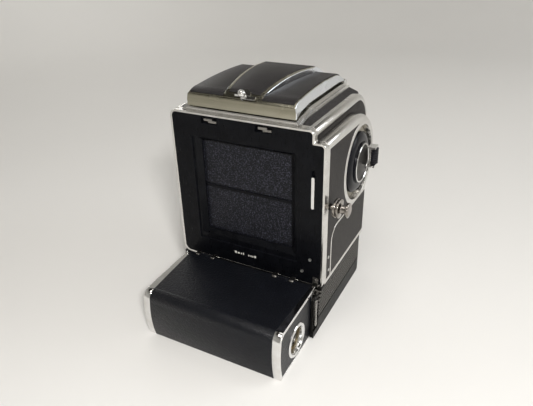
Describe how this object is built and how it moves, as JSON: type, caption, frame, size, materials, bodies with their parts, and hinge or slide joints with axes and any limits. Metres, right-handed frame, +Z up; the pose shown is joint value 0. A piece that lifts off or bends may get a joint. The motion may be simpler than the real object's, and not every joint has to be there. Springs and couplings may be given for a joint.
{
  "type": "medium-format reflex camera body",
  "caption": "Medium-format reflex camera with a folding viewing hood, cloth shutter behind a square rear gate, side winding knob and a hinged roll-film box at the foot.",
  "frame": {"origin": "centre of the tripod socket's mouth, in the plane the camera stands on", "axes": "+Z up, -Y along the lens's line of sight, -X towards the winding knob; the rear frame and the film box face +Y"},
  "size_m": [0.1134, 0.1713, 0.1425],
  "materials": {
    "satin_nickel": "satin plating with a warm cast",
    "polished_chrome": "polished plating",
    "black_lacquer": "semi-gloss black enamel",
    "black_plastic": "moulded, slightly worn",
    "leather": "fine-grain black covering",
    "curtain_cloth": "rubberised cloth with fine wrinkles",
    "optical_glass": "polished, coated",
    "ground_glass": "fine ground underside",
    "silvering": "front-silvered",
    "brass": "plain turned"
  },
  "bodies": {
    "camera": {"base_casting": "black_lacquer", "base_screws": "polished_chrome", "bottom_plate": "black_lacquer", "box_hinge": "polished_chrome", "dial_plate": "black_lacquer", "focusing_screen": "ground_glass", "frame_pins": "polished_chrome", "frame_trim": "satin_nickel", "front_leather": "leather", "hood_base": "satin_nickel", "hood_hinge_pin": "polished_chrome", "hood_skirts": "leather", "left_leather": "leather", "lens_barrel": "black_lacquer", "lens_glass": "optical_glass", "lens_mount": "polished_chrome", "lower_curtain": "curtain_cloth", "mirror_box": "satin_nickel", "rear_frame": "black_lacquer", "side_housing": "satin_nickel", "side_leather_lower": "leather", "side_leather_upper": "leather", "sync_sockets": "polished_chrome", "top_deck": "polished_chrome", "tripod_socket": "brass", "upper_curtain": "curtain_cloth"},
    "wind_knob": {"wind_drum": "polished_chrome", "wind_ring": "polished_chrome", "wind_disc": "black_plastic", "grip_pin": "polished_chrome"},
    "crank": {"crank_grip": "black_plastic"},
    "lath": {"curtain_lath": "polished_chrome"},
    "roller_upper": {"upper_roller": "polished_chrome"},
    "roller_lower": {"lower_roller": "polished_chrome"},
    "mirror": {"mirror_tray": "black_lacquer", "mirror_glass": "silvering"},
    "release": {"release_button": "polished_chrome"},
    "speed": {"speed_dial": "polished_chrome"},
    "focusing": {"focus_ring": "black_lacquer"},
    "aperture": {"aperture_ring": "black_lacquer"},
    "lid": {"hood_lid": "satin_nickel", "lid_leather_sides": "leather", "lid_leather_centre": "leather", "magnifier_arm": "polished_chrome", "magnifier_lens": "optical_glass"},
    "catch": {"hood_catch": "polished_chrome"},
    "flap_right": {"hood_flap_right": "black_lacquer"},
    "flap_left": {"hood_flap_left": "black_lacquer"},
    "flap_rear": {"hood_flap_rear": "black_lacquer"},
    "interlock": {"interlock_bar": "polished_chrome"},
    "pull": {"pull_knob": "polished_chrome"},
    "hooks": {"catch_hooks": "polished_chrome"},
    "latch": {"latch_lever": "polished_chrome"},
    "film_box": {"box_shell": "leather", "box_cap_right": "polished_chrome", "box_cap_left": "polished_chrome", "box_end_leather": "leather", "spool_ring": "polished_chrome"},
    "key": {"spool_key": "black_lacquer"},
    "spool": {"film_spool": "black_lacquer"}
  },
  "joints": [
    {"name": "wind_turn", "type": "hinge", "parent": "camera", "child": "wind_knob", "pos_m": [0, -0.0195, 0.0868], "axis": [1, 0, 0], "range_deg": [0, 360]},
    {"name": "grip_spin", "type": "hinge", "parent": "wind_knob", "child": "crank", "pos_m": [-0.0565, -0.0336, 0.087], "axis": [0, 0, 1], "continuous": true},
    {"name": "curtain_travel", "type": "slide", "parent": "camera", "child": "lath", "axis": [0, 0, 1], "range_m": [0, 0.0245], "deforming": ["upper_curtain", "lower_curtain"]},
    {"name": "upper_roller_turn", "type": "hinge", "parent": "camera", "child": "roller_upper", "pos_m": [0, 0.029, 0.1142], "axis": [1, 0, 0], "range_deg": [0, 545]},
    {"name": "lower_roller_turn", "type": "hinge", "parent": "camera", "child": "roller_lower", "pos_m": [0, 0.029, 0.0434], "axis": [1, 0, 0], "range_deg": [0, 545]},
    {"name": "mirror_lift", "type": "hinge", "parent": "camera", "child": "mirror", "pos_m": [0, 0.0245, 0.1146], "axis": [-1, 0, 0], "range_deg": [0, 43]},
    {"name": "release_press", "type": "slide", "parent": "camera", "child": "release", "axis": [0, 1, 0], "range_m": [0, 0.002], "stiffness_N_per_m": 300, "springref_m": -0.001},
    {"name": "speed_turn", "type": "hinge", "parent": "camera", "child": "speed", "pos_m": [0, -0.01, 0.092], "axis": [1, 0, 0], "range_deg": [0, 300]},
    {"name": "focus_turn", "type": "hinge", "parent": "camera", "child": "focusing", "pos_m": [-0.00225, -0.06, 0.07925], "axis": [0, 1, 0], "range_deg": [0, 200]},
    {"name": "aperture_turn", "type": "hinge", "parent": "camera", "child": "aperture", "pos_m": [-0.00225, -0.07, 0.07925], "axis": [0, 1, 0], "range_deg": [0, 70]},
    {"name": "hood_open", "type": "hinge", "parent": "camera", "child": "lid", "pos_m": [0, -0.0385, 0.1296], "axis": [1, 0, 0], "range_deg": [0, 95]},
    {"name": "catch_turn", "type": "hinge", "parent": "lid", "child": "catch", "pos_m": [-0.0012, 0.032, 0.1362], "axis": [0, -0.4924, -0.8704], "range_deg": [0, 40]},
    {"name": "right_flap_fold", "type": "hinge", "parent": "camera", "child": "flap_right", "pos_m": [-0.0298, 0, 0.1316], "axis": [0, -1, 0], "range_deg": [0, 90.1]},
    {"name": "left_flap_fold", "type": "hinge", "parent": "camera", "child": "flap_left", "pos_m": [0.0306, 0, 0.1316], "axis": [0, 1, 0], "range_deg": [0, 90.1]},
    {"name": "rear_flap_fold", "type": "hinge", "parent": "camera", "child": "flap_rear", "pos_m": [0, 0.029, 0.1316], "axis": [-1, 0, 0], "range_deg": [0, 90.1]},
    {"name": "interlock_slide", "type": "slide", "parent": "camera", "child": "interlock", "axis": [0, 0, 1], "range_m": [0, 0.003]},
    {"name": "knob_pull", "type": "slide", "parent": "camera", "child": "pull", "axis": [-1, 0, 0], "range_m": [0, 0.003], "stiffness_N_per_m": 200, "springref_m": -0.001},
    {"name": "hook_slide", "type": "slide", "parent": "camera", "child": "hooks", "axis": [1, 0, 0], "range_m": [0, 0.0016]},
    {"name": "latch_swing", "type": "hinge", "parent": "camera", "child": "latch", "pos_m": [-0.051, 0.0442, 0.0246], "axis": [1, 0, 0], "range_deg": [0, 8]},
    {"name": "box_swing", "type": "hinge", "parent": "camera", "child": "film_box", "pos_m": [0, 0.04, 0.0306], "axis": [1, 0, 0], "range_deg": [0, 80]},
    {"name": "key_pull", "type": "slide", "parent": "film_box", "child": "key", "axis": [-1, 0, 0], "range_m": [0, 0.006]},
    {"name": "spool_spin", "type": "hinge", "parent": "film_box", "child": "spool", "pos_m": [0, 0.0657, 0.0129], "axis": [1, 0, 0], "continuous": true}
  ],
  "couplings": [
    {"joint": "upper_roller_turn", "follows": "curtain_travel", "rad_per_m": 384.6},
    {"joint": "lower_roller_turn", "follows": "curtain_travel", "rad_per_m": 384.6},
    {"joint": "right_flap_fold", "follows": "hood_open", "ratio": 0.94737},
    {"joint": "left_flap_fold", "follows": "hood_open", "ratio": 0.94737},
    {"joint": "rear_flap_fold", "follows": "hood_open", "ratio": 0.94737},
    {"joint": "hook_slide", "follows": "knob_pull", "ratio": 0.5}
  ]
}
